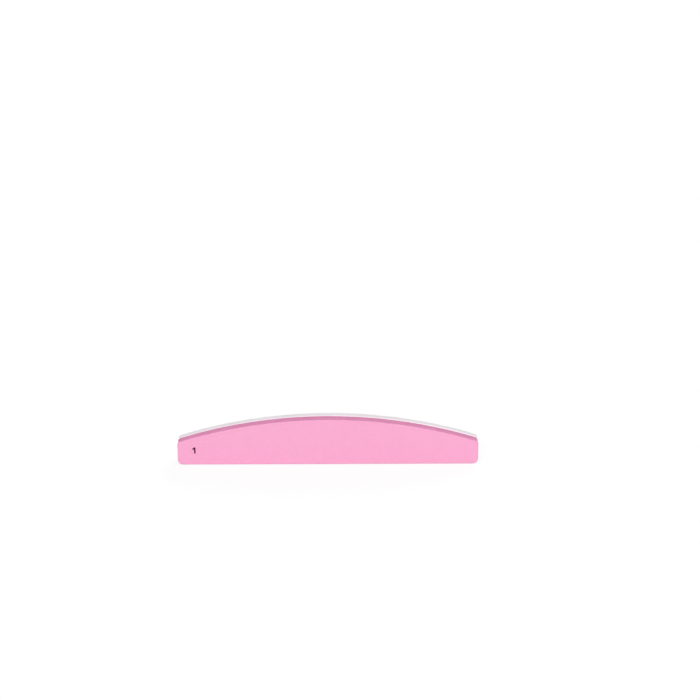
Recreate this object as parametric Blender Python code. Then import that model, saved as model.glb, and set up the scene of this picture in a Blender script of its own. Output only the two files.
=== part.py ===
"""A two-sided half-moon sponge nail file: two foam slabs on a thin stiffener, abrasive paper on both sides.

The file stands on its straight edge. X runs along its length, Z up to the arc, and Y through the
laminate, from side 1 (pink, towards -Y) to side 2 (white, towards +Y). The origin is the middle of the
straight edge. Lengths are in metres.
"""

import math

import bpy
from mathutils import Matrix, Vector

MM = 0.001

# The die-cut outline
LENGTH = 178.0 * MM
HEIGHT = 28.0 * MM
END_HEIGHT = 14.0 * MM
BOTTOM_CORNER_RADIUS = 3.3 * MM
TOP_CORNER_RADIUS = 2.0 * MM

# The laminate
GRIT_COAT_THICKNESS = 0.20 * MM
BACKING_THICKNESS = 0.30 * MM
FACE_ADHESIVE_THICKNESS = 0.10 * MM
PINK_FOAM_THICKNESS = 5.50 * MM
CORE_ADHESIVE_THICKNESS = 0.10 * MM
CORE_BOARD_THICKNESS = 0.80 * MM
WHITE_FOAM_THICKNESS = 4.10 * MM
LAYER_GAP = 0.02 * MM

# The printed numerals, one on each side near the left end as that side is read, leaning back a little
NUMERAL_HEIGHT = 3.9 * MM
NUMERAL_FROM_END = 9.65 * MM
NUMERAL_ABOVE_EDGE = 7.0 * MM
NUMERAL_LEAN = math.radians(2.6)
INK_GAP = 0.02 * MM

# How finely the round stretches are drawn
ARC_STEPS = 56
CORNER_STEPS = 8
BOWL_STEPS = 20

# Shares of the numeral's height, measured from its lower left corner, and the angles of the 2's bowl
STROKE_SHARE = 0.23
ONE_WIDTH_SHARE = 0.51
ONE_TOP_SHARE = 0.34
ONE_FLAG_SHARES = {"tip_high": 0.73, "tip_low": 0.59, "root": 0.70}
TWO_WIDTH_SHARE = 0.64
TWO_BOWL_START = math.radians(168)
TWO_BOWL_END = math.radians(-36)

# Colours as red, green and blue from 0 to 255, with a roughness
FINISHES = {
    "pink_grit": ((251, 170, 209), 0.85),
    "white_grit": ((243, 243, 243), 0.85),
    "pink_paper": ((222, 160, 190), 0.80),
    "white_paper": ((232, 229, 231), 0.80),
    "adhesive_film": ((232, 226, 214), 0.45),
    "pink_sponge": ((214, 136, 174), 0.90),
    "white_sponge": ((226, 221, 225), 0.90),
    "stiffener_plastic": ((250, 246, 248), 0.50),
    "ink": ((34, 20, 28), 0.60),
}


def linear(channel):
    """One 0 to 255 colour channel as the linear value that a shader takes."""
    value = channel / 255
    return value / 12.92 if value <= 0.04045 else ((value + 0.055) / 1.055) ** 2.4


def finish(name):
    """The finish's material, made the first time that it is asked for."""
    material = bpy.data.materials.get(name)
    if material is None:
        colour, roughness = FINISHES[name]
        material = bpy.data.materials.new(name)
        material.use_nodes = True
        shader = material.node_tree.nodes["Principled BSDF"]
        shader.inputs["Base Color"].default_value = (*map(linear, colour), 1.0)
        shader.inputs["Roughness"].default_value = roughness
        shader.inputs["Metallic"].default_value = 0.0
    return material


def arc(centre, radius, start, end, steps):
    """Points from angle start to angle end, both included, on a circle."""
    angles = (start + (end - start) * step / steps for step in range(steps + 1))
    return [centre + radius * Vector((math.cos(angle), math.sin(angle))) for angle in angles]


def half_moon():
    """The die-cut outline, anticlockwise from where the straight edge meets the lower right corner."""
    half = LENGTH / 2
    rise = HEIGHT - END_HEIGHT
    top_radius = (half**2 + rise**2) / (2 * rise)
    top_centre = Vector((0, HEIGHT - top_radius))

    # The round top corner touches the end's straight side and, from inside, the long arc.
    corner_x = half - TOP_CORNER_RADIUS
    corner_reach = top_radius - TOP_CORNER_RADIUS
    corner_centre = top_centre + Vector((corner_x, math.sqrt(corner_reach**2 - corner_x**2)))
    meets_arc = math.atan2(corner_centre.y - top_centre.y, corner_x)

    lower_centre = Vector((half - BOTTOM_CORNER_RADIUS, BOTTOM_CORNER_RADIUS))
    right_side = arc(lower_centre, BOTTOM_CORNER_RADIUS, -math.pi / 2, 0, CORNER_STEPS)
    right_side += arc(corner_centre, TOP_CORNER_RADIUS, 0, meets_arc, CORNER_STEPS)
    left_side = [Vector((-point.x, point.y)) for point in reversed(right_side)]
    top = arc(top_centre, top_radius, meets_arc, math.pi - meets_arc, ARC_STEPS)
    return right_side + top[1:-1] + left_side


def numeral_one():
    """A bold 1: a stem with a short flag, and no foot."""
    high = NUMERAL_HEIGHT
    stroke = STROKE_SHARE * high
    right = ONE_WIDTH_SHARE * high
    stem = right - stroke
    flag = {name: share * high for name, share in ONE_FLAG_SHARES.items()}
    points = [
        (stem, 0),
        (right, 0),
        (right, high),
        (ONE_TOP_SHARE * high, high),
        (0, flag["tip_high"]),
        (0, flag["tip_low"]),
        (stem, flag["root"]),
    ]
    return [Vector(point) for point in points]


def numeral_two():
    """A bold 2: a round bowl that runs on as a straight diagonal into a flat foot."""
    high = NUMERAL_HEIGHT
    stroke = STROKE_SHARE * high
    wide = TWO_WIDTH_SHARE * high
    outer_radius = wide / 2
    inner_radius = outer_radius - stroke
    centre = Vector((outer_radius, high - outer_radius))
    inner = arc(centre, inner_radius, TWO_BOWL_END, TWO_BOWL_START, BOWL_STEPS)
    outer = arc(centre, outer_radius, TWO_BOWL_START, TWO_BOWL_END, BOWL_STEPS)

    # The diagonal leaves the bowl along its tangent, so both its sides share this slope.
    run_per_fall = math.tan(-TWO_BOWL_END)
    foot_inside = Vector((outer[-1].x - (outer[-1].y - stroke) * run_per_fall, stroke))
    left_meets = Vector((0, inner[0].y - inner[0].x / run_per_fall))
    foot = [foot_inside, Vector((wide, stroke)), Vector((wide, 0)), Vector((0, 0))]
    return inner + outer + foot + [left_meets]


def grown(outline, margin):
    """The outline moved outwards by the margin, with its corners kept sharp."""
    area = sum(a.x * b.y - b.x * a.y for a, b in zip(outline, outline[1:] + outline[:1]))
    outwards = math.copysign(margin, area)
    moved = []
    for before, point, after in zip(outline[-1:] + outline[:-1], outline, outline[1:] + outline[:1]):
        first = (point - before).normalized()
        second = (after - point).normalized()
        normals = Vector((first.y, -first.x)) + Vector((second.y, -second.x))
        moved.append(point + normals * outwards * 2 / normals.length_squared)
    return moved


def printed(outline, width_share):
    """A numeral's outline in its place on the file, turned about its middle."""
    middle = Vector((width_share * NUMERAL_HEIGHT, NUMERAL_HEIGHT)) / 2
    place = Vector((NUMERAL_FROM_END - LENGTH / 2, NUMERAL_ABOVE_EDGE + NUMERAL_HEIGHT / 2))
    lean = Matrix.Rotation(NUMERAL_LEAN, 2)
    return [lean @ (point - middle) + place for point in outline]


def sheet(name, outlines, middle, thickness, finish_name, collection, parent, turned=False):
    """A flat piece of the laminate: the first outline is its edge, and any others are holes in it."""
    curve = bpy.data.curves.new(name, "CURVE")
    curve.dimensions = "2D"
    curve.fill_mode = "BOTH"
    curve.extrude = thickness / 2
    for outline in outlines:
        spline = curve.splines.new("POLY")
        spline.points.add(len(outline) - 1)
        for target, point in zip(spline.points, outline):
            target.co = (point.x, point.y, 0, 1)
        spline.use_cyclic_u = True
    curve.materials.append(finish(finish_name))

    piece = bpy.data.objects.new(name, curve)
    piece.location = (0, middle, 0)
    piece.rotation_euler = (math.pi / 2, 0, math.pi if turned else 0)
    piece.parent = parent
    collection.objects.link(piece)
    return piece


def build():
    for old in list(bpy.data.objects):
        bpy.data.objects.remove(old, do_unlink=True)
    collection = bpy.data.collections.new("nail_file")
    bpy.context.scene.collection.children.link(collection)
    whole = bpy.data.objects.new("nail_file_frame", None)
    collection.objects.link(whole)

    # Each numeral is printed through the grit coat, so the coat has an opening of the numeral's shape.
    # Side 2 is drawn as its reader sees it and then turned to face backwards.
    edge = half_moon()
    one = printed(numeral_one(), ONE_WIDTH_SHARE)
    two = printed(numeral_two(), TWO_WIDTH_SHARE)
    coat_1 = [edge, grown(one, INK_GAP)]
    coat_2 = [edge, grown(two, INK_GAP)]

    laminate = [
        ("side_1_grit_coat", GRIT_COAT_THICKNESS, "pink_grit", coat_1),
        ("side_1_backing", BACKING_THICKNESS, "pink_paper", [edge]),
        ("side_1_adhesive", FACE_ADHESIVE_THICKNESS, "adhesive_film", [edge]),
        ("pink_foam", PINK_FOAM_THICKNESS, "pink_sponge", [edge]),
        ("core_adhesive_1", CORE_ADHESIVE_THICKNESS, "adhesive_film", [edge]),
        ("core_board", CORE_BOARD_THICKNESS, "stiffener_plastic", [edge]),
        ("core_adhesive_2", CORE_ADHESIVE_THICKNESS, "adhesive_film", [edge]),
        ("white_foam", WHITE_FOAM_THICKNESS, "white_sponge", [edge]),
        ("side_2_adhesive", FACE_ADHESIVE_THICKNESS, "adhesive_film", [edge]),
        ("side_2_backing", BACKING_THICKNESS, "white_paper", [edge]),
        ("side_2_grit_coat", GRIT_COAT_THICKNESS, "white_grit", coat_2),
    ]
    total = sum(layer[1] for layer in laminate) + LAYER_GAP * (len(laminate) - 1)
    front = -total / 2
    for name, thickness, finish_name, outlines in laminate:
        turned = name == "side_2_grit_coat"
        sheet(name, outlines, front + thickness / 2, thickness, finish_name, collection, whole, turned)
        front += thickness + LAYER_GAP

    ink_middle = (total - GRIT_COAT_THICKNESS) / 2
    for name, outline, middle, turned in (
        ("side_1_number", one, -ink_middle, False),
        ("side_2_number", two, ink_middle, True),
    ):
        sheet(name, [outline], middle, GRIT_COAT_THICKNESS, "ink", collection, whole, turned)


build()
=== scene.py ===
import math
from collections import namedtuple

import bmesh
import bpy
import numpy as np
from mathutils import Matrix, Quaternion, Vector, noise
from mathutils.bvhtree import BVHTree


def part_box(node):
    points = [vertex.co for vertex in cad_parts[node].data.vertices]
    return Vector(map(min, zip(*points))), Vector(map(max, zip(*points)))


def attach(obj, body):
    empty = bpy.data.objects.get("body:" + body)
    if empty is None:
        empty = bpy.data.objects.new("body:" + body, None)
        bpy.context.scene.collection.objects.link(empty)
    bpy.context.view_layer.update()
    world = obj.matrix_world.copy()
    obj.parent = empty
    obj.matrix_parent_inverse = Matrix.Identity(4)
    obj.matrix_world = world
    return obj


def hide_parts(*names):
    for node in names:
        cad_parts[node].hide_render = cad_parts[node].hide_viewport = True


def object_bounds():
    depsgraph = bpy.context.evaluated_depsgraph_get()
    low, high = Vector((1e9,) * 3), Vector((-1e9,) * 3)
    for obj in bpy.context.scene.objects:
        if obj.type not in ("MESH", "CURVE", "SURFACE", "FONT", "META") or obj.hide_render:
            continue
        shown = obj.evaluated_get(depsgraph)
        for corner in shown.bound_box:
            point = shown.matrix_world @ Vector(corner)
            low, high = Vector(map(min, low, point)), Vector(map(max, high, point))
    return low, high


# The frame, in metres: X along the file, Y through it from side 1 to side 2, Z from the straight edge up
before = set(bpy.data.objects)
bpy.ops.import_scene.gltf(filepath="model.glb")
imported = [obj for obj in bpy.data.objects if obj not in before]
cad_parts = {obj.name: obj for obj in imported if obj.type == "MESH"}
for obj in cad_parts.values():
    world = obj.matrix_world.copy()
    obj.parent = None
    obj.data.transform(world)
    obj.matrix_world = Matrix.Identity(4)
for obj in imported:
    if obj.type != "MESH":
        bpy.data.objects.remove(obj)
cad_low, cad_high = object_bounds()

MM = 0.001

# The die-cut outline: its length and height are the frame's, and the other sizes are those of the solids
HALF_LENGTH = cad_high.x
HEIGHT = cad_high.z
END_HEIGHT = 14.0 * MM
BOTTOM_CORNER_RADIUS = 3.3 * MM
TOP_CORNER_RADIUS = 2.0 * MM

# How many steps an outline has along the file, up each end and round each corner
Steps = namedtuple("Steps", "along end corner")
FACE_STEPS = Steps(along=600, end=80, corner=12)
FOAM_STEPS = Steps(along=860, end=46, corner=18)
SHEET_STEPS = Steps(along=150, end=8, corner=14)

# Relief in a mesh, by the size of its features and by how far it rises or sinks
Relief = namedtuple("Relief", "size height")

# The rim that the cutting die presses down: where its points lie, how deep its edge is, how it fades
RIM_INSETS = np.array([0.0, 0.03, 0.07, 0.12, 0.18, 0.25, 0.33, 0.42, 0.52]) * MM
RIM_DROP = 0.12 * MM
RIM_FADE = 2.2

# The abrasive's relief and ragged cut edge, and the distance that marks its points off the face
GRAIN_RELIEF = (
    Relief(0.27 * MM, 0.020 * MM),
    Relief(0.62 * MM, 0.014 * MM),
    Relief(2.3 * MM, 0.006 * MM),
)
RAGGED_EDGE = Relief(0.5 * MM, 0.03 * MM)
RAGGED_EDGE_SEED = 3
OFF_THE_FACE = -1.0 * MM

# The foam's cut edge: its rows of points, and how they crowd towards the sheets above and below
FOAM_ROWS = 28
FOAM_ROWS_CROWDED = 0.35

# How the foam's edge is drawn in, worn and pitted, and the share of its thickness where each fades in
FOAM_WAIST = 0.16 * MM
FOAM_WAIST_FULLNESS = 0.8
FOAM_WEAR = Relief(14.0 * MM, 0.05 * MM)
FOAM_WEAR_FADE = 0.10
FOAM_PITS = (Relief(0.55 * MM, 0.09 * MM), Relief(1.00 * MM, 0.12 * MM))
FOAM_PITS_FADE = 0.03

# The pits: the share of cells that have one, its radius in cell sizes, and how its depth varies
PIT_OPEN_SHARE = 0.60
PIT_RADIUS = 0.5
PIT_LEAST_DEPTH = 0.3
PIT_DEPTH_SPREAD = 1.2
PIT_CENTRE_SPREAD = 7.0

# How far apart two seeds lie in the noise
WAVE_SEED_STEP = (17.3, 5.1, 9.7)
PIT_SEED_STEP = (3.7, 11.9, 6.1)

# The numerals' ink: its cuts, how near two points may lie, its height over the grain, and its edge
INK_PITCH = 0.09 * MM
INK_WELD = INK_PITCH / 20
INK_CUT_WELD = INK_PITCH / 10
INK_PROUD = 0.014 * MM
INK_THICKNESS = 0.05 * MM
INK_WANDER = Relief(0.22 * MM, 0.035 * MM)
INK_WANDER_ACROSS = Vector((0, 31.0, 0))

# The front of a numeral's solid is the faces that look out of the file at least this squarely
FRONT_SQUARENESS = 0.9

# Edges that turn by more than this are shaded sharp
SHARP_ANGLE = math.radians(50)
FOAM_SHARP_ANGLE = math.radians(75)

# The abrasive's grains in its material: their sizes, worn edges, leaning tops and range of height
COARSE_GRAIN = 0.19 * MM
FINE_GRAIN = 0.11 * MM
FINE_GRAIN_HEIGHT = 0.6
GRAIN_BEVEL = 0.16
GRAIN_LEAN = 1.5
GRAIN_TOPS = (0.05, 0.85)
MIDDLE_COLOUR = (0.5, 0.5, 0.5)

# The sizes of the patches and specks in the materials, and how much the ink's wear counts
FACE_PATCHES = 3.5 * MM
FACE_DRIFT = 28.0 * MM
# Patches in which the rim colour, partly wear and partly painted shade, is stronger or weaker
RIM_WEAR_AND_SHADE_PATCHES = 1.4 * MM
FOAM_DRIFT = 6.0 * MM
FOAM_FUZZ = 0.10 * MM
INK_MISSES = 0.13 * MM
INK_WEAR = 0.9 * MM
INK_WEAR_WEIGHT = 0.25

# The foam's pores in its material: their size, the share of cells that have one, and their depth
Pores = namedtuple("Pores", "size open_share depth")
FOAM_PORES = (Pores(0.15 * MM, 1.0, 0.60), Pores(0.24 * MM, 0.9, 0.75), Pores(0.46 * MM, 0.45, 1.0))
PORE_FULLY_OPEN = 0.3
# How much the pores' depth darkens the foam: painted shade in the pores
PORE_PAINTED_SHADE = 0.62

# A thin sheet's cut edge: the size of its specks, its roughness and its specular level
CutEdge = namedtuple("CutEdge", "speck roughness specular")
GLUE_EDGE = CutEdge(0.15 * MM, 0.40, 0.4)
PAPER_EDGE = CutEdge(0.25 * MM, 0.75, 0.3)
BOARD_EDGE = CutEdge(0.30 * MM, 0.45, 0.5)

# How many times longer and finer than the specks the streaks are, and the roughness that specks add
STREAK_LENGTH = 8
STREAK_FINENESS = 6
SPECK_ROUGHNESS = 0.15

# Colours as red, green and blue from 0 to 255
Colours = namedtuple("Colours", "grain pale dark rim cut foam pore paper paper_dark glue glue_dark ink")
PINK = Colours(
    grain=(253, 177, 214),
    # pale and dark also paint highlight on the grain tops and shade in the gaps between them
    pale=(253, 201, 227),
    dark=(242, 147, 191),
    # The pressed rim's colour: partly wear, partly painted shade of its turned-down edge
    rim=(224, 144, 183),
    cut=(203, 124, 162),
    foam=(217, 134, 175),
    # pore is painted shade in the pores, and also a darker tone of the foam
    pore=(190, 107, 148),
    paper=(209, 128, 167),
    paper_dark=(195, 115, 153),
    glue=(208, 136, 171),
    glue_dark=(194, 120, 156),
    ink=(58, 1, 28),
)
WHITE = Colours(
    grain=(251, 251, 251),
    # pale and dark also paint highlight on the grain tops and shade in the gaps between them
    pale=(255, 255, 255),
    dark=(234, 234, 236),
    # The pressed rim's colour: partly wear, partly painted shade of its turned-down edge
    rim=(232, 230, 230),
    cut=(230, 227, 229),
    foam=(231, 222, 228),
    # pore is painted shade in the pores, and also a darker tone of the foam
    pore=(210, 201, 207),
    paper=(232, 229, 231),
    paper_dark=(216, 212, 215),
    glue=(233, 228, 226),
    glue_dark=(216, 209, 208),
    ink=(24, 20, 22),
)
BOARD = (253, 250, 251)
BOARD_DARK = (242, 236, 239)

# The two sides: the noise seed, where the face lies in Y, which way is in, and the film on the stiffener
Side = namedtuple("Side", "name colour colours seed face_y inwards core_film")
SIDE_1 = Side(
    name="side_1",
    colour="pink",
    colours=PINK,
    seed=1,
    face_y=cad_low.y,
    inwards=1.0,
    core_film="core_adhesive_1",
)
SIDE_2 = Side(
    name="side_2",
    colour="white",
    colours=WHITE,
    seed=2,
    face_y=cad_high.y,
    inwards=-1.0,
    core_film="core_adhesive_2",
)

# The camera, as the photograph places it
CAMERA_TARGET = Vector((0.0, 0.0, HEIGHT / 2))
CAMERA_DISTANCE = 1.0
CAMERA_ELEVATION = math.radians(20.902)
CAMERA_PAN = math.radians(0.760)
CAMERA_TILT = math.radians(3.009)
CAMERA_ROLL = math.radians(0.086)
CAMERA_LENS = 86.40
CAMERA_SENSOR_WIDTH = 36.0
CAMERA_NEAREST = 0.01

# The room: a wide white floor, and a surround that is seen as white but lights the file less
FLOOR_WIDTH = 12.0
FLOOR_BELOW = 0.02 * MM
FLOOR_BOUNCE = 0.70
FLOOR_SHADE_SEEN = 0.22
FLOOR_GLOW_SEEN = 0.79
SURROUND = 0.40
SURROUND_SEEN = 1.0

# Three wide soft lights: the direction that each comes from, its spread in degrees and its level
Light = namedtuple("Light", "name source spread level")
LIGHTS = (
    Light("front", (-0.397, -0.852, 0.342), 45, 0.55),
    Light("back", (0.397, 0.852, 0.342), 45, 0.54),
    Light("top", (0.0, -0.17, 0.985), 60, 0.24),
)


def corner_geometry():
    """The long arc's radius and centre, the right top corner's centre, and the angle where they meet."""
    rise = HEIGHT - END_HEIGHT
    radius = (HALF_LENGTH**2 + rise**2) / (2 * rise)
    centre_z = HEIGHT - radius
    corner_x = HALF_LENGTH - TOP_CORNER_RADIUS
    corner_z = centre_z + math.sqrt((radius - TOP_CORNER_RADIUS) ** 2 - corner_x**2)
    return radius, centre_z, corner_x, corner_z, math.atan2(corner_z - centre_z, corner_x)


ARC_RADIUS, ARC_CENTRE_Z, TOP_CORNER_X, TOP_CORNER_Z, ARC_ANGLE = corner_geometry()


def straight(start, end, steps):
    """Points from start towards end, without end itself."""
    share = (np.arange(steps) / steps)[:, None]
    return np.array(start) * (1 - share) + np.array(end) * share


def bend(centre, radius, start, end, steps):
    """Points round an arc, without its last."""
    angle = start + (end - start) * np.arange(steps) / steps
    return np.array(centre) + radius * np.column_stack((np.cos(angle), np.sin(angle)))


def outline(inset, steps):
    """The half-moon's X and Z, moved in by inset, anticlockwise from the lower left corner's middle."""
    pi = math.pi
    low = BOTTOM_CORNER_RADIUS - inset
    high = TOP_CORNER_RADIUS - inset
    end_x = HALF_LENGTH - inset
    low_x = HALF_LENGTH - BOTTOM_CORNER_RADIUS
    low_left, low_right = (-low_x, BOTTOM_CORNER_RADIUS), (low_x, BOTTOM_CORNER_RADIUS)
    top_left, top_right = (-TOP_CORNER_X, TOP_CORNER_Z), (TOP_CORNER_X, TOP_CORNER_Z)
    half = steps.corner // 2
    return np.concatenate([
        bend(low_left, low, 5 * pi / 4, 3 * pi / 2, half),
        straight((-low_x, inset), (low_x, inset), steps.along),
        bend(low_right, low, -pi / 2, 0, 2 * half),
        straight((end_x, BOTTOM_CORNER_RADIUS), (end_x, TOP_CORNER_Z), steps.end),
        bend(top_right, high, 0, ARC_ANGLE, 2 * half),
        bend((0, ARC_CENTRE_Z), ARC_RADIUS - inset, ARC_ANGLE, pi - ARC_ANGLE, steps.along),
        bend(top_left, high, pi - ARC_ANGLE, pi, 2 * half),
        straight((-end_x, TOP_CORNER_Z), (-end_x, BOTTOM_CORNER_RADIUS), steps.end),
        bend(low_left, low, pi, 5 * pi / 4, half),
    ])


def outward(steps):
    """The direction out of the file, as X and Z, at each point of the outline."""
    return (outline(0.0, steps) - outline(MM, steps)) / MM


def rim_drop(inset):
    """How far the die has pressed a face down, at a distance in from its edge."""
    return RIM_DROP * np.clip(1 - inset / RIM_INSETS[-1], 0, 1) ** RIM_FADE


def waves(points, reliefs, seed):
    """At each point, the sum of smooth noises that rise and sink by about each relief's height."""
    shift = Vector([seed * step for step in WAVE_SEED_STEP])
    return np.array([
        sum(height * noise.noise(Vector(point) / size + shift) for size, height in reliefs)
        for point in points
    ])


def foam_pits(points, seed):
    """How deep the cut cells lie at each point: round hollows in some cells, and none in the rest."""
    shift = Vector([seed * step for step in PIT_SEED_STEP])
    depths = np.zeros(len(points))
    for index, point in enumerate(points):
        for size, height in FOAM_PITS:
            distances, centres = noise.voronoi(Vector(point) / size + shift)
            # Noise at the cell's centre gives the cell its own random number, from 0 to 1.
            chance = (noise.cell(centres[0] * PIT_CENTRE_SPREAD) + 1) / 2
            if chance < PIT_OPEN_SHARE:
                depth = height * (PIT_LEAST_DEPTH + PIT_DEPTH_SPREAD * chance)
                hollow = max(1 - distances[0] / PIT_RADIUS, 0.0)
                depths[index] += depth * hollow * hollow * (3 - 2 * hollow)
    return depths


def depths_of(node, side):
    """How deep a CAD node's outer and inner faces lie below its side's face."""
    low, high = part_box(node)
    return sorted((abs(low.y - side.face_y), abs(high.y - side.face_y)))


def lifted(flat, depth, side):
    """X and Z points with the Y that lies at a depth below the side's face."""
    points = np.empty((len(flat), 3))
    points[:, 0], points[:, 2] = flat[:, 0], flat[:, 1]
    points[:, 1] = side.face_y + side.inwards * depth
    return points


def four_sides(ring, steps):
    """A ring's bottom and top, from left to right, and its left and right, upwards."""
    across, up = steps.along + steps.corner, steps.end + steps.corner
    bottom = ring[: across + 1]
    right = ring[across : across + up + 1]
    top = ring[across + up : 2 * across + up + 1][::-1]
    left = np.concatenate([ring[2 * across + up :], ring[:1]])[::-1]
    return bottom, top, left, right


def face_grid(inset, steps):
    """A grid of X and Z points that fills the outline, their numbers, and those along the outline."""
    bottom, top, left, right = four_sides(outline(inset, steps), steps)
    across, up = len(bottom) - 1, len(left) - 1
    u = np.linspace(0, 1, across + 1)[:, None, None]
    v = np.linspace(0, 1, up + 1)[None, :, None]
    corners = (
        (1 - u) * (1 - v) * bottom[0] + u * (1 - v) * bottom[-1] + (1 - u) * v * top[0] + u * v * top[-1]
    )
    grid = (1 - v) * bottom[:, None] + v * top[:, None] + (1 - u) * left[None] + u * right[None] - corners
    numbers = np.arange((across + 1) * (up + 1)).reshape(across + 1, up + 1)
    rim = np.concatenate([numbers[:-1, 0], numbers[-1, :-1], numbers[:0:-1, -1], numbers[0, :0:-1]])
    return grid.reshape(-1, 2), numbers, rim


def bands(rings):
    """The quads between each ring of point numbers and the next."""
    faces = []
    for first, second in zip(rings, rings[1:]):
        turned_first, turned_second = np.roll(first, -1), np.roll(second, -1)
        faces += np.column_stack((first, turned_first, turned_second, second)).tolist()
    return faces


def cap(ring, steps):
    """Faces that fill a flat ring: a quad at each step from left to right, and a fan at each end."""
    bottom, top, left, right = four_sides(ring, steps)
    faces = np.column_stack((bottom[:-1], bottom[1:], top[1:], top[:-1])).tolist()
    for end in (left, right):
        faces += [(end[0], first, second) for first, second in zip(end[1:], end[2:])]
    return faces


def mesh_of(name, points, faces):
    """A mesh of these points and faces, with its faces turned outwards."""
    mesh = bpy.data.meshes.new(name)
    mesh.from_pydata([tuple(point) for point in points], [], faces)
    bm = bmesh.new()
    bm.from_mesh(mesh)
    bmesh.ops.recalc_face_normals(bm, faces=bm.faces)
    bm.to_mesh(mesh)
    bm.free()
    return mesh


def stack_of(name, rings, steps):
    """A closed mesh through rings of equally many points, with a cap on the first ring and the last."""
    count = len(rings[0])
    numbers = [np.arange(count) + place * count for place in range(len(rings))]
    faces = bands(numbers) + cap(numbers[0], steps) + cap(numbers[-1], steps)
    return mesh_of(name, np.concatenate(rings), faces)


def replacement(mesh, node, sharp_angle=SHARP_ANGLE):
    """A smoothly shaded piece of this mesh and name, which stands for a CAD node."""
    mesh.shade_smooth()
    mesh.set_sharp_from_angle(angle=sharp_angle)
    piece = bpy.data.objects.new(mesh.name, mesh)
    bpy.context.scene.collection.objects.link(piece)
    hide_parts(node)
    return piece


def abrasive_face(name, node, side):
    """The grit coat: a grained face with a pressed-down rim, its thin cut edge and its back."""
    outer, inner = depths_of(node, side)
    highest = sum(relief.height for relief in GRAIN_RELIEF)

    def grained(flat, drop):
        points = lifted(flat, 0.0, side)
        relief = waves(points, GRAIN_RELIEF, side.seed)
        points[:, 1] += side.inwards * (outer + drop + highest - relief)
        return points

    edge = outline(0.0, FACE_STEPS)
    ragged = waves(lifted(edge, outer, side), [RAGGED_EDGE], side.seed + RAGGED_EDGE_SEED)
    edge = edge - outward(FACE_STEPS) * (RAGGED_EDGE.height - ragged)[:, None] / 2

    # The points run from the middle of the face over its rim, down the cut edge and in behind it.
    grid, numbers, rim = face_grid(RIM_INSETS[-1], FACE_STEPS)
    blocks = [(grained(grid, 0.0), RIM_INSETS[-1])]
    for inset in RIM_INSETS[-2:0:-1]:
        blocks.append((grained(outline(inset, FACE_STEPS), rim_drop(inset)), inset))
    blocks.append((grained(edge, rim_drop(0.0)), 0.0))
    blocks.append((lifted(edge, inner + rim_drop(0.0), side), OFF_THE_FACE))
    for inset in RIM_INSETS[3::3]:
        blocks.append((lifted(outline(inset, FACE_STEPS), inner + rim_drop(inset), side), OFF_THE_FACE))

    counts = [len(points) for points, distance in blocks]
    starts = np.cumsum(counts)
    rings = [rim] + [np.arange(count) + start for count, start in zip(counts[1:], starts)]
    squares = np.stack((numbers[:-1, :-1], numbers[1:, :-1], numbers[1:, 1:], numbers[:-1, 1:]), axis=-1)
    faces = squares.reshape(-1, 4).tolist() + bands(rings) + cap(rings[-1], FACE_STEPS)
    mesh = mesh_of(name, np.concatenate([points for points, distance in blocks]), faces)

    # The material reads each point's distance from the edge, in millimetres.
    from_edge = np.concatenate([np.full(len(points), distance / MM) for points, distance in blocks])
    mesh.attributes.new("from_edge", "FLOAT", "POINT").data.foreach_set("value", from_edge)
    return replacement(mesh, node)


def pressed_sheet(name, node, side):
    """A thin sheet under the grit coat, which follows its pressed-down rim."""
    outer, inner = depths_of(node, side)
    insets = RIM_INSETS[::2]
    levels = [(inset, outer + rim_drop(inset)) for inset in insets[::-1]]
    levels += [(inset, inner + rim_drop(inset)) for inset in insets]
    rings = [lifted(outline(inset, SHEET_STEPS), depth, side) for inset, depth in levels]
    return replacement(stack_of(name, rings, SHEET_STEPS), node)


def foam_pad(name, node, side):
    """A foam slab, pressed down under its paper and flat on the stiffener, with an edge of cut cells."""
    outer, inner = depths_of(node, side)
    edge, outwards = outline(0.0, FOAM_STEPS), outward(FOAM_STEPS)
    top, bottom = outer + rim_drop(0.0), inner
    even = np.linspace(0, 1, FOAM_ROWS)
    crowded = (1 - np.cos(np.linspace(0, math.pi, FOAM_ROWS))) / 2
    rings = [
        lifted(outline(inset, FOAM_STEPS), outer + rim_drop(inset), side) for inset in RIM_INSETS[:0:-2]
    ]
    for share in crowded * FOAM_ROWS_CROWDED + even * (1 - FOAM_ROWS_CROWDED):
        points = lifted(edge, top + (bottom - top) * share, side)
        from_sheet = min(share, 1 - share)
        waist = FOAM_WAIST * (4 * share * (1 - share)) ** FOAM_WAIST_FULLNESS
        worn = np.maximum(waves(points, [FOAM_WEAR], side.seed) + FOAM_WEAR.height, 0)
        worn *= min(from_sheet / FOAM_WEAR_FADE, 1.0)
        pits = foam_pits(points, side.seed) * min(from_sheet / FOAM_PITS_FADE, 1.0)
        points[:, [0, 2]] -= (waist + worn + pits)[:, None] * outwards
        rings.append(points)
    rings.append(lifted(outline(RIM_INSETS[-1], FOAM_STEPS), inner, side))
    piece = replacement(stack_of(name, rings, FOAM_STEPS), node, FOAM_SHARP_ANGLE)
    return piece


def cut_up_front(node, side):
    """The outer face of a numeral's solid, cut into small triangles."""
    bm = bmesh.new()
    bm.from_mesh(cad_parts[node].data)
    bm.normal_update()
    others = [face for face in bm.faces if face.normal.y * side.inwards > -FRONT_SQUARENESS]
    bmesh.ops.delete(bm, geom=others, context="FACES")
    bmesh.ops.remove_doubles(bm, verts=bm.verts, dist=INK_WELD)
    low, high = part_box(node)
    for axis, across in ((0, Vector((1, 0, 0))), (2, Vector((0, 0, 1)))):
        span = high[axis] - low[axis]
        count = int(span / INK_PITCH)
        for step in range(1, count + 1):
            place = low.copy()
            place[axis] += span * step / (count + 1)
            geometry = bm.verts[:] + bm.edges[:] + bm.faces[:]
            bmesh.ops.bisect_plane(bm, geom=geometry, dist=INK_CUT_WELD, plane_co=place, plane_no=across)
    bmesh.ops.dissolve_degenerate(bm, dist=INK_CUT_WELD, edges=bm.edges)
    bmesh.ops.triangulate(bm, faces=bm.faces)
    return bm


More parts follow.
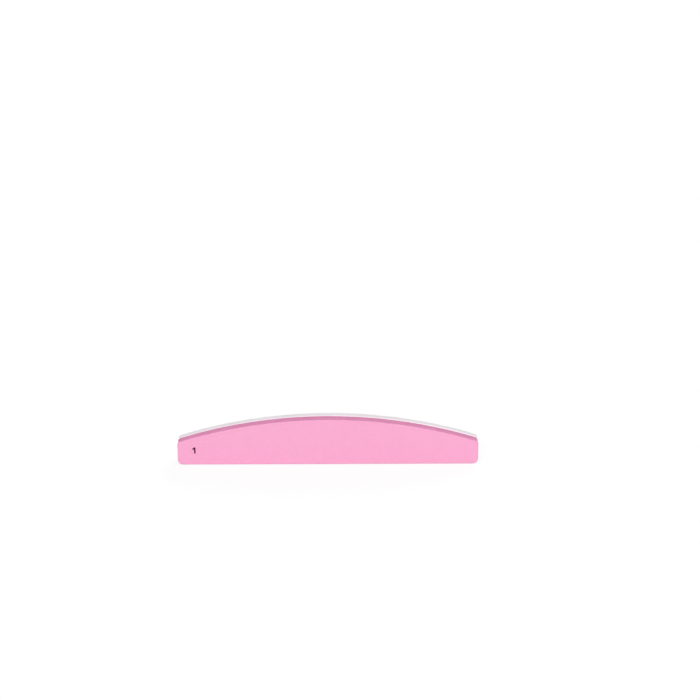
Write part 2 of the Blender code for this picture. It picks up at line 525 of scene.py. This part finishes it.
def lay_over(bm, coat, side):
    """Makes the ink's outline uneven and lays the ink over the relief of the coat."""
    surface = BVHTree.FromObject(coat, bpy.context.evaluated_depsgraph_get())
    for vertex in bm.verts:
        place = vertex.co / INK_WANDER.size + Vector((side.seed, 0, 0))
        vertex.co.x += INK_WANDER.height * noise.noise(place)
        vertex.co.z += INK_WANDER.height * noise.noise(place + INK_WANDER_ACROSS)
        start = Vector((vertex.co.x, side.face_y - side.inwards * MM, vertex.co.z))
        hit = surface.ray_cast(start, Vector((0, side.inwards, 0)))[0]
        vertex.co.y = hit.y - side.inwards * INK_PROUD


def thicken(bm, side):
    """Gives the sheet of ink its underside, sunk into the coat, and the wall round it."""
    rim = [edge for edge in bm.edges if edge.is_boundary]
    copied = bmesh.ops.duplicate(bm, geom=bm.verts[:] + bm.edges[:] + bm.faces[:])
    below = copied["vert_map"]
    under = [item for item in copied["geom"] if isinstance(item, bmesh.types.BMVert)]
    bmesh.ops.translate(bm, verts=under, vec=Vector((0, side.inwards * INK_THICKNESS, 0)))
    for edge in rim:
        first, second = edge.verts
        bm.faces.new((second, first, below[first], below[second]))
    bmesh.ops.recalc_face_normals(bm, faces=bm.faces)


def printed_numeral(name, node, side, coat):
    """The numeral's ink, laid over the grain of its coat, with an uneven edge."""
    bm = cut_up_front(node, side)
    lay_over(bm, coat, side)
    thicken(bm, side)
    mesh = bpy.data.meshes.new(name)
    bm.to_mesh(mesh)
    bm.free()
    return replacement(mesh, node)


def linear(colour):
    """A 0 to 255 colour as a shader takes it."""
    shares = [channel / 255 for channel in colour]
    shares = [s / 12.92 if s <= 0.04045 else ((s + 0.055) / 1.055) ** 2.4 for s in shares]
    return (*shares, 1.0)


class Surface:
    """A material, with short calls for the nodes that it is made of."""

    def __init__(self, name, **settings):
        self.material = bpy.data.materials.new(name)
        self.material.use_nodes = True
        self.nodes = self.material.node_tree.nodes
        self.links = self.material.node_tree.links
        self.shader = self.nodes["Principled BSDF"]
        for socket, value in settings.items():
            self.shader.inputs[socket.replace("_", " ")].default_value = value
        self.place = self.nodes.new("ShaderNodeTexCoord").outputs["Object"]

    def feed(self, socket, value):
        """Gives a socket another node's output, a 0 to 255 colour or a plain number."""
        if isinstance(value, bpy.types.NodeSocket):
            self.links.new(value, socket)
        elif isinstance(value, tuple):
            socket.default_value = linear(value)
        else:
            socket.default_value = value

    def scalar(self, operation, first, second):
        """Arithmetic on two numbers."""
        node = self.nodes.new("ShaderNodeMath")
        node.operation = operation
        self.feed(node.inputs[0], first)
        self.feed(node.inputs[1], second)
        return node.outputs["Value"]

    def vector(self, operation, first, second, output="Vector"):
        """Arithmetic on two vectors."""
        node = self.nodes.new("ShaderNodeVectorMath")
        node.operation = operation
        self.links.new(first, node.inputs[0])
        if isinstance(second, bpy.types.NodeSocket):
            self.links.new(second, node.inputs[1])
        else:
            node.inputs[1].default_value = second
        return node.outputs[output]

    def mapped(self, value, run, onto=(0.0, 1.0)):
        """The value's run between two numbers, brought smoothly onto a new run and held at both ends."""
        node = self.nodes.new("ShaderNodeMapRange")
        node.interpolation_type = "SMOOTHSTEP"
        self.feed(node.inputs["Value"], value)
        node.inputs["From Min"].default_value, node.inputs["From Max"].default_value = run
        node.inputs["To Min"].default_value, node.inputs["To Max"].default_value = onto
        return node.outputs["Result"]

    def blend(self, share, first, second):
        """The first colour with a share of the second in its place."""
        node = self.nodes.new("ShaderNodeMix")
        node.data_type = "RGBA"
        self.feed(node.inputs["Factor"], share)
        self.feed(node.inputs["A"], first)
        self.feed(node.inputs["B"], second)
        return node.outputs["Result"]

    def tinted(self, colour, tint, value, run, most):
        """The colour with a tint that comes in over the value's run, up to the most of it."""
        return self.blend(self.mapped(value, run, onto=(0.0, most)), colour, tint)

    def attribute(self, name):
        """A number that the mesh holds at each point."""
        node = self.nodes.new("ShaderNodeAttribute")
        node.attribute_name = name
        return node.outputs["Fac"]

    def stretched(self, sizes):
        """The place measured in these sizes along X, Y and Z."""
        mapping = self.nodes.new("ShaderNodeMapping")
        self.links.new(self.place, mapping.inputs["Vector"])
        mapping.inputs["Scale"].default_value = [1 / size for size in sizes]
        return mapping.outputs["Vector"]

    def clouds(self, size, detail=3.0, roughness=0.5, place=None):
        """Soft noise with features of this size."""
        texture = self.nodes.new("ShaderNodeTexNoise")
        self.links.new(place or self.place, texture.inputs["Vector"])
        texture.inputs["Scale"].default_value = 1 / size
        texture.inputs["Detail"].default_value = detail
        texture.inputs["Roughness"].default_value = roughness
        return texture.outputs["Fac"]

    def cells(self, size, feature="F1"):
        """Space split into cells of about this size."""
        texture = self.nodes.new("ShaderNodeTexVoronoi")
        texture.feature = feature
        self.links.new(self.place, texture.inputs["Vector"])
        texture.inputs["Scale"].default_value = 1 / size
        return texture.outputs

    def chance(self, cells):
        """One random number for each cell, the red of its random colour."""
        split = self.nodes.new("ShaderNodeSeparateColor")
        self.links.new(cells["Color"], split.inputs["Color"])
        return split.outputs["Red"]

    def grains(self, size):
        """Angular grains with gaps between them: how high each stands, and its own random number."""
        body = self.mapped(self.cells(size, "DISTANCE_TO_EDGE")["Distance"], run=(0.0, GRAIN_BEVEL))
        cells = self.cells(size)
        chance = self.chance(cells)
        within = self.vector("SUBTRACT", self.place, cells["Position"])
        lean = self.vector("SUBTRACT", cells["Color"], MIDDLE_COLOUR)
        slope = self.vector("DOT_PRODUCT", within, lean, output="Value")
        facet = self.scalar("MULTIPLY", slope, GRAIN_LEAN / size)
        level = self.mapped(chance, run=(0.15, 1.0), onto=GRAIN_TOPS)
        top = self.scalar("MAXIMUM", self.scalar("ADD", level, facet), 0.0)
        return self.scalar("MULTIPLY", body, top), chance

    def grit(self):
        """Coarse grains with finer ones between them: their height, and each size's random numbers."""
        coarse, coarse_chance = self.grains(COARSE_GRAIN)
        fine, fine_chance = self.grains(FINE_GRAIN)
        fine = self.scalar("MULTIPLY", fine, FINE_GRAIN_HEIGHT)
        return self.scalar("MAXIMUM", coarse, fine), coarse_chance, fine_chance

    def pores(self, size, open_share, depth):
        """Round hollows in a share of the cells of this size."""
        cells = self.cells(size)
        hollow = self.mapped(cells["Distance"], run=(0.52, 0.10), onto=(0.0, depth))
        is_open = self.mapped(self.chance(cells), run=(open_share, open_share * PORE_FULLY_OPEN))
        return self.scalar("MULTIPLY", hollow, is_open)

    def raised(self, height, distance, strength, below=None):
        """The surface's normal with a height's bumps on it, over any bumps below them."""
        node = self.nodes.new("ShaderNodeBump")
        self.feed(node.inputs["Height"], height)
        node.inputs["Distance"].default_value = distance
        node.inputs["Strength"].default_value = strength
        if below is not None:
            self.links.new(below, node.inputs["Normal"])
        return node.outputs["Normal"]

    def finished(self, colour, roughness, bumps):
        """The material, once its shader has its colour, roughness and bumps."""
        self.feed(self.shader.inputs["Base Color"], colour)
        self.feed(self.shader.inputs["Roughness"], roughness)
        self.links.new(bumps, self.shader.inputs["Normal"])
        return self.material


def abrasive(name, colours):
    """Closely set abrasive grains in a coloured resin, duller at the pressed rim and the cut edge; the
    rim's darker colour is partly wear and partly painted shade of its turned-down edge.
    """
    surface = Surface(name, Specular_IOR_Level=0.25)
    height, coarse_chance, fine_chance = surface.grit()
    patches = surface.clouds(FACE_PATCHES)
    drift = surface.clouds(FACE_DRIFT, detail=1.0)
    # The higher grains are lightened and the low gaps between them darkened: painted highlight and
    # painted shade that follow the relief
    colour = surface.tinted(colours.grain, colours.pale, height, run=(0.40, 0.95), most=0.60)
    colour = surface.tinted(colour, colours.dark, height, run=(0.34, 0.05), most=0.50)
    colour = surface.tinted(colour, colours.pale, fine_chance, run=(0.86, 1.00), most=0.50)
    colour = surface.tinted(colour, colours.pale, patches, run=(0.52, 0.75), most=0.18)
    colour = surface.tinted(colour, colours.dark, drift, run=(0.45, 0.70), most=0.05)

    # Near the edge the coat takes the rim colour in patches: partly the worn pressed rim, partly painted
    # shade of its turned-down edge
    from_edge = surface.attribute("from_edge")
    worn_and_shaded_patches = surface.mapped(surface.clouds(RIM_WEAR_AND_SHADE_PATCHES), run=(0.35, 0.65), onto=(0.45, 0.95))
    pressed = surface.scalar("MULTIPLY", surface.mapped(from_edge, run=(0.60, 0.05)), worn_and_shaded_patches)
    colour = surface.blend(pressed, colour, colours.rim)
    colour = surface.tinted(colour, colours.cut, from_edge, run=(0.0, -0.15), most=0.9)

    bumps = surface.raised(height, distance=0.055 * MM, strength=0.8)
    roughness = surface.mapped(coarse_chance, run=(0.6, 1.0), onto=(0.88, 0.50))
    return surface.finished(colour, roughness, bumps)


def sponge(name, colours):
    """A cut through fine foam: small round pores of three sizes in a soft matte body."""
    surface = Surface(name, Specular_IOR_Level=0.2, Sheen_Weight=0.05, Sheen_Roughness=0.6)
    small, middling, large = [surface.pores(*pores) for pores in FOAM_PORES]
    deepest = surface.scalar("MAXIMUM", surface.scalar("MAXIMUM", small, middling), large)
    drift = surface.clouds(FOAM_DRIFT)
    fuzz = surface.clouds(FOAM_FUZZ, roughness=0.6)
    # The foam darkens towards the pore colour with the pores' depth: painted shade in the pores
    colour = surface.blend(surface.scalar("MULTIPLY", deepest, PORE_PAINTED_SHADE), colours.foam, colours.pore)
    colour = surface.tinted(colour, colours.pore, fuzz, run=(0.50, 0.75), most=0.35)
    colour = surface.tinted(colour, colours.pore, drift, run=(0.35, 0.70), most=0.18)
    bumps = surface.raised(deepest, distance=-0.06 * MM, strength=0.9)
    bumps = surface.raised(fuzz, distance=0.02 * MM, strength=0.6, below=bumps)
    roughness = surface.mapped(fuzz, run=(0.3, 0.7), onto=(0.82, 0.98))
    return surface.finished(colour, roughness, bumps)


def cut_sheet(name, base, dark, edge):
    """The cut edge of a thin sheet: streaks along it, with small nicks and a little dirt."""
    surface = Surface(name, Specular_IOR_Level=edge.specular)
    length, thickness = edge.speck * STREAK_LENGTH, edge.speck / STREAK_FINENESS
    streaks = surface.clouds(1.0, place=surface.stretched((length, thickness, length)))
    specks = surface.clouds(edge.speck, detail=4.0, roughness=0.7)
    colour = surface.tinted(base, dark, streaks, run=(0.35, 0.70), most=1.0)
    colour = surface.tinted(colour, dark, specks, run=(0.55, 0.75), most=0.5)
    bumps = surface.raised(specks, distance=0.03 * MM, strength=0.6)
    roughest = edge.roughness + SPECK_ROUGHNESS
    roughness = surface.mapped(specks, run=(0.3, 0.7), onto=(edge.roughness, roughest))
    return surface.finished(colour, roughness, bumps)


def printing_ink(name, colours):
    """Dark ink over abrasive grain, which it misses in a few small places."""
    surface = Surface(name, Specular_IOR_Level=0.12)
    height = surface.grit()[0]
    misses = surface.clouds(INK_MISSES, roughness=0.65)
    wear = surface.scalar("MULTIPLY", surface.clouds(INK_WEAR, detail=2.0), INK_WEAR_WEIGHT)
    bare = surface.scalar("ADD", misses, wear)
    colour = surface.tinted(colours.ink, colours.dark, bare, run=(0.84, 0.94), most=0.6)
    bumps = surface.raised(height, distance=0.04 * MM, strength=0.8)
    roughness = surface.mapped(misses, run=(0.3, 0.7), onto=(0.60, 0.85))
    return surface.finished(colour, roughness, bumps)


def seen_rays(tree):
    """One for a ray that comes from the camera, a mirror or a glass, and nought for any other."""
    path = tree.nodes.new("ShaderNodeLightPath")
    seen = path.outputs["Is Camera Ray"]
    for ray in ("Is Glossy Ray", "Is Transmission Ray"):
        either = tree.nodes.new("ShaderNodeMath")
        either.operation = "MAXIMUM"
        tree.links.new(seen, either.inputs[0])
        tree.links.new(path.outputs[ray], either.inputs[1])
        seen = either.outputs["Value"]
    return seen


def switched(tree, seen, unseen_value, seen_value):
    """One value for the rays that see, and another for the rest."""
    node = tree.nodes.new("ShaderNodeMapRange")
    node.inputs["To Min"].default_value = unseen_value
    node.inputs["To Max"].default_value = seen_value
    tree.links.new(seen, node.inputs["Value"])
    return node.outputs["Result"]


def floor_surface():
    """A white floor that lights the file from below, and is seen as white with a faint shadow on it."""
    material = bpy.data.materials.new("white_floor")
    material.use_nodes = True
    tree = material.node_tree
    tree.nodes.clear()
    output = tree.nodes.new("ShaderNodeOutputMaterial")
    paint = tree.nodes.new("ShaderNodeBsdfDiffuse")
    lift = tree.nodes.new("ShaderNodeEmission")
    both = tree.nodes.new("ShaderNodeAddShader")
    seen = seen_rays(tree)
    tree.links.new(switched(tree, seen, FLOOR_BOUNCE, FLOOR_SHADE_SEEN), paint.inputs["Color"])
    tree.links.new(switched(tree, seen, 0.0, FLOOR_GLOW_SEEN), lift.inputs["Strength"])
    tree.links.new(paint.outputs["BSDF"], both.inputs[0])
    tree.links.new(lift.outputs["Emission"], both.inputs[1])
    tree.links.new(both.outputs["Shader"], output.inputs["Surface"])
    return material


def make_room():
    """The floor, the surround and the lights."""
    bpy.ops.mesh.primitive_plane_add(size=FLOOR_WIDTH, location=(0, 0, -FLOOR_BELOW))
    floor = bpy.context.object
    floor.name = "floor"
    floor.data.materials.append(floor_surface())

    world = bpy.data.worlds.new("surround")
    bpy.context.scene.world = world
    world.use_nodes = True
    tree = world.node_tree
    background = tree.nodes["Background"]
    background.inputs["Color"].default_value = (1, 1, 1, 1)
    strength = switched(tree, seen_rays(tree), SURROUND, SURROUND_SEEN)
    tree.links.new(strength, background.inputs["Strength"])

    for name, source, spread, level in LIGHTS:
        light = bpy.data.lights.new(name, "SUN")
        light.angle = math.radians(spread)
        light.energy = math.pi * level
        holder = bpy.data.objects.new(name, light)
        holder.rotation_mode = "QUATERNION"
        holder.rotation_quaternion = Vector(source).to_track_quat("Z", "Y")
        bpy.context.scene.collection.objects.link(holder)


def make_camera():
    """The camera, in front of the file and above it, turned until the file sits low and to the left."""
    back = Vector((0, -math.cos(CAMERA_ELEVATION), math.sin(CAMERA_ELEVATION)))
    right = Vector((1, 0, 0))
    up = right.cross(-back)
    aim = -back + math.tan(CAMERA_PAN) * right + math.tan(CAMERA_TILT) * up
    data = bpy.data.cameras.new("camera")
    data.lens = CAMERA_LENS
    data.sensor_width = CAMERA_SENSOR_WIDTH
    data.clip_start = CAMERA_NEAREST
    camera = bpy.data.objects.new("camera", data)
    camera.location = CAMERA_TARGET + back * CAMERA_DISTANCE
    camera.rotation_mode = "QUATERNION"
    camera.rotation_quaternion = aim.to_track_quat("-Z", "Y") @ Quaternion((0, 0, 1), CAMERA_ROLL)
    bpy.context.scene.collection.objects.link(camera)
    bpy.context.scene.camera = camera


def dress(piece, material):
    """Gives a new piece its material and slot, and lets it ride on the file's one body."""
    piece.data.materials.append(material)
    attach(piece, "root")


def redress(node, material):
    """Gives a CAD node that stays its better material."""
    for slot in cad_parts[node].material_slots:
        slot.material = material


def make_side(side):
    """One side's abrasive face, paper, glue, foam pad and numeral, and the look of its core film."""
    colour, colours = side.colour, side.colours
    coat = abrasive_face(f"{colour}_abrasive_face", f"{side.name}_grit_coat", side)
    dress(coat, abrasive(f"{colour}_abrasive", colours))

    backing = pressed_sheet(f"{colour}_side_paper", f"{side.name}_backing", side)
    paper = cut_sheet(f"{colour}_side_paper", colours.paper, colours.paper_dark, PAPER_EDGE)
    dress(backing, paper)

    film = cut_sheet(f"{colour}_glue_film", colours.glue, colours.glue_dark, GLUE_EDGE)
    glue = pressed_sheet(f"{colour}_side_glue", f"{side.name}_adhesive", side)
    dress(glue, film)
    redress(side.core_film, film)

    pad = foam_pad(f"{colour}_foam_pad", f"{colour}_foam", side)
    dress(pad, sponge(f"{colour}_sponge_cut", colours))

    numeral = printed_numeral(f"{side.name}_printed_number", f"{side.name}_number", side, coat)
    dress(numeral, printing_ink(f"{colour}_side_ink", colours))


make_camera()
make_room()
make_side(SIDE_1)
make_side(SIDE_2)
redress("core_board", cut_sheet("white_stiffener", BOARD, BOARD_DARK, BOARD_EDGE))

bpy.context.scene.view_settings.view_transform = "Standard"
